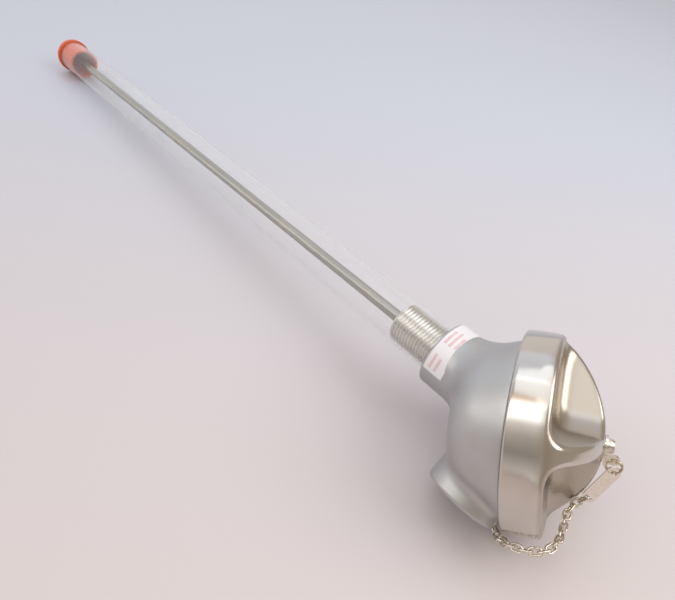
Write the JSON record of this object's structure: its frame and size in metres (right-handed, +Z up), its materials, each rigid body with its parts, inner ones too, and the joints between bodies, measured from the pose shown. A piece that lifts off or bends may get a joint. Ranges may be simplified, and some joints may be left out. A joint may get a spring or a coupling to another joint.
{
  "type": "rtd probe with head",
  "caption": "Sheathed resistance thermometer probe with a threaded process fitting, a stainless connection head with a chained screw cap, and a clear transit guard with its plug.",
  "frame": {"origin": "on the probe's axis, at the shoulder where the process thread meets the head's neck", "axes": "+X runs along the probe's length from the tip to the head (the probe's axis is pitched 3.6 degrees up from +X towards the head as it lies), +Z is up and the part lies on a level table on its cap rim, its cable entry and the guard's plug"},
  "size_m": [0.524, 0.0853, 0.0841],
  "materials": {
    "head_body": "ground and brushed stainless",
    "cap": "fine brushed stainless",
    "cap_gasket": "smooth rubber",
    "chain_screw": "plated",
    "swivel_eye": "plated",
    "split_ring": "polished",
    "chain_strap": "plated",
    "chain": "plated",
    "anchor_screw": "plated",
    "process_nipple": "turned",
    "probe_sheath": "drawn and cleaned",
    "sheath_filler": "packed powder",
    "rtd_element": "fired",
    "seal_bead": "cast resin",
    "lead_wires": "bare copper",
    "wire_sleeves": "extruded",
    "mounting_plate": "stamped",
    "terminal_base": "glazed",
    "terminal_clamps": "turned",
    "terminal_screws": "plated",
    "base_screws": "plated",
    "base_springs": "spring steel",
    "earth_clamp": "stamped",
    "earth_screw": "plated",
    "neck_label": "laminated film",
    "guard_tube": "clear extruded tube",
    "guard_plug": "moulded, translucent"
  },
  "bodies": {
    "head": {"head_body": "head_body", "anchor_screw": "anchor_screw", "process_nipple": "process_nipple", "probe_sheath": "probe_sheath", "sheath_filler": "sheath_filler", "rtd_element": "rtd_element", "seal_bead": "seal_bead", "lead_wires": "lead_wires", "wire_sleeves": "wire_sleeves", "mounting_plate": "mounting_plate", "terminal_base": "terminal_base", "terminal_clamps": "terminal_clamps", "terminal_screws": "terminal_screws", "base_screws": "base_screws", "base_springs": "base_springs", "earth_clamp": "earth_clamp", "earth_screw": "earth_screw", "neck_label": "neck_label", "chain": "chain"},
    "swivel": {"swivel_eye": "swivel_eye", "split_ring": "split_ring", "chain_strap": "chain_strap"},
    "cap": {"cap": "cap", "cap_gasket": "cap_gasket", "chain_screw": "chain_screw"},
    "guard": {"guard_tube": "guard_tube"},
    "plug": {"guard_plug": "guard_plug"}
  },
  "joints": [
    {"name": "cap_lift", "type": "slide", "parent": "head", "child": "swivel", "axis": [0.8434, 0.3692, 0.3902], "range_m": [0, 0.01], "deforming": ["chain"]},
    {"name": "cap_turn", "type": "hinge", "parent": "swivel", "child": "cap", "pos_m": [0.04712, -0.00369, -0.00045], "axis": [0.8434, 0.3692, 0.3902], "range_deg": [0, 1800]},
    {"name": "guard_pull", "type": "slide", "parent": "head", "child": "guard", "axis": [-0.9981, 0, -0.062], "range_m": [0, 0.45]},
    {"name": "plug_pull", "type": "slide", "parent": "guard", "child": "plug", "axis": [-0.9981, 0, -0.062], "range_m": [0, 0.025]}
  ],
  "couplings": [
    {"joint": "cap_lift", "follows": "cap_turn", "m_per_rad": 0.00031831}
  ]
}
